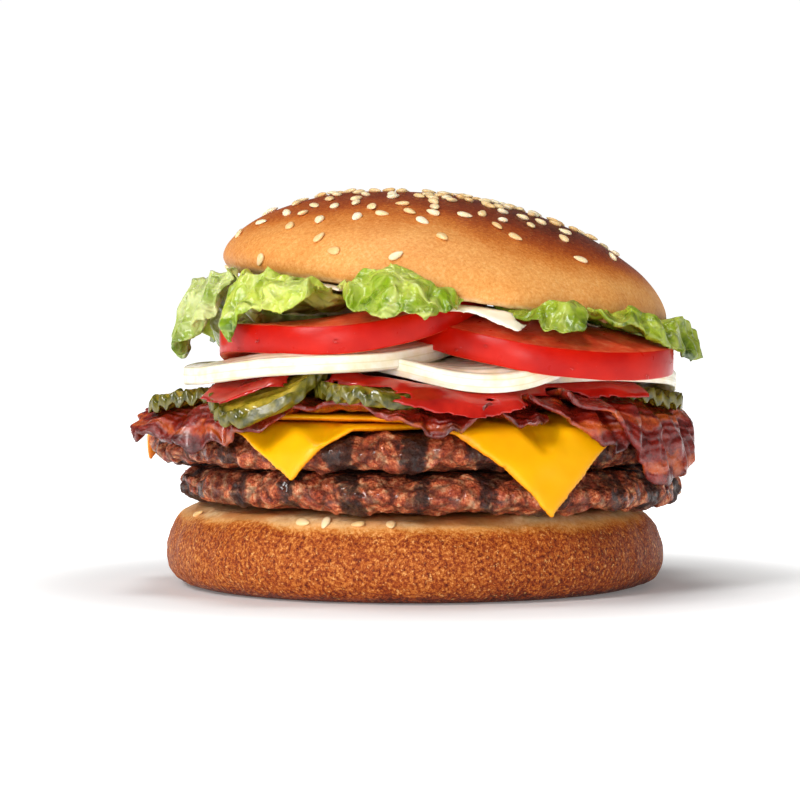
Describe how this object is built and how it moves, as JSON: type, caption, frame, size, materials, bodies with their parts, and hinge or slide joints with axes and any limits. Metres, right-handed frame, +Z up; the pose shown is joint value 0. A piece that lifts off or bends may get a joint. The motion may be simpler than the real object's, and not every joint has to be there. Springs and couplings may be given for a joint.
{
  "type": "bacon double cheeseburger",
  "caption": "Double cheeseburger in a sesame bun with grilled patties, melted cheese, bacon, pickle chips, onion, tomato, crumpled lettuce, ketchup and mayonnaise.",
  "frame": {"origin": "middle of the bun heel's flat base", "axes": "+Z up, +X to the right as the burger is seen from its front, -Y towards the viewer, the side where both cheese corners hang"},
  "size_m": [0.1276, 0.1281, 0.0905],
  "materials": {
    "bun": "toasted bread crust, satin",
    "patty": "grilled ground beef, charred in bands, moist",
    "cheese": "melted processed cheese, soft sheen",
    "bacon": "crisp fried bacon with paler fat, oily",
    "pickle": "brined cucumber, wet",
    "ketchup": "smooth wet sauce",
    "onion": "raw white onion, moist and slightly translucent",
    "tomato": "glossy wet skin",
    "lettuce": "thin crisp leaf, waxy",
    "mayo": "smooth creamy sauce"
  },
  "bodies": {
    "root": {"heel": "bun", "crown": "bun", "patty_lower": "patty", "patty_upper": "patty", "cheese_left": "cheese", "cheese_right": "cheese", "bacon_left": "bacon", "bacon_front": "bacon", "bacon_front_right": "bacon", "bacon_right": "bacon", "bacon_back_right": "bacon", "bacon_back_left": "bacon", "pickle_left": "pickle", "pickle_front_right": "pickle", "pickle_front_left": "pickle", "pickle_right": "pickle", "pickle_back_right": "pickle", "pickle_back_left": "pickle", "ketchup": "ketchup", "onion_back": "onion", "onion_right": "onion", "onion_front": "onion", "onion_left": "onion", "tomato_back": "tomato", "tomato_right": "tomato", "tomato_left": "tomato", "lettuce_back": "lettuce", "lettuce_back_left": "lettuce", "lettuce_back_right": "lettuce", "lettuce_left": "lettuce", "lettuce_front_left": "lettuce", "lettuce_front": "lettuce", "lettuce_front_right": "lettuce", "lettuce_right": "lettuce", "mayo": "mayo"}
  },
  "joints": []
}
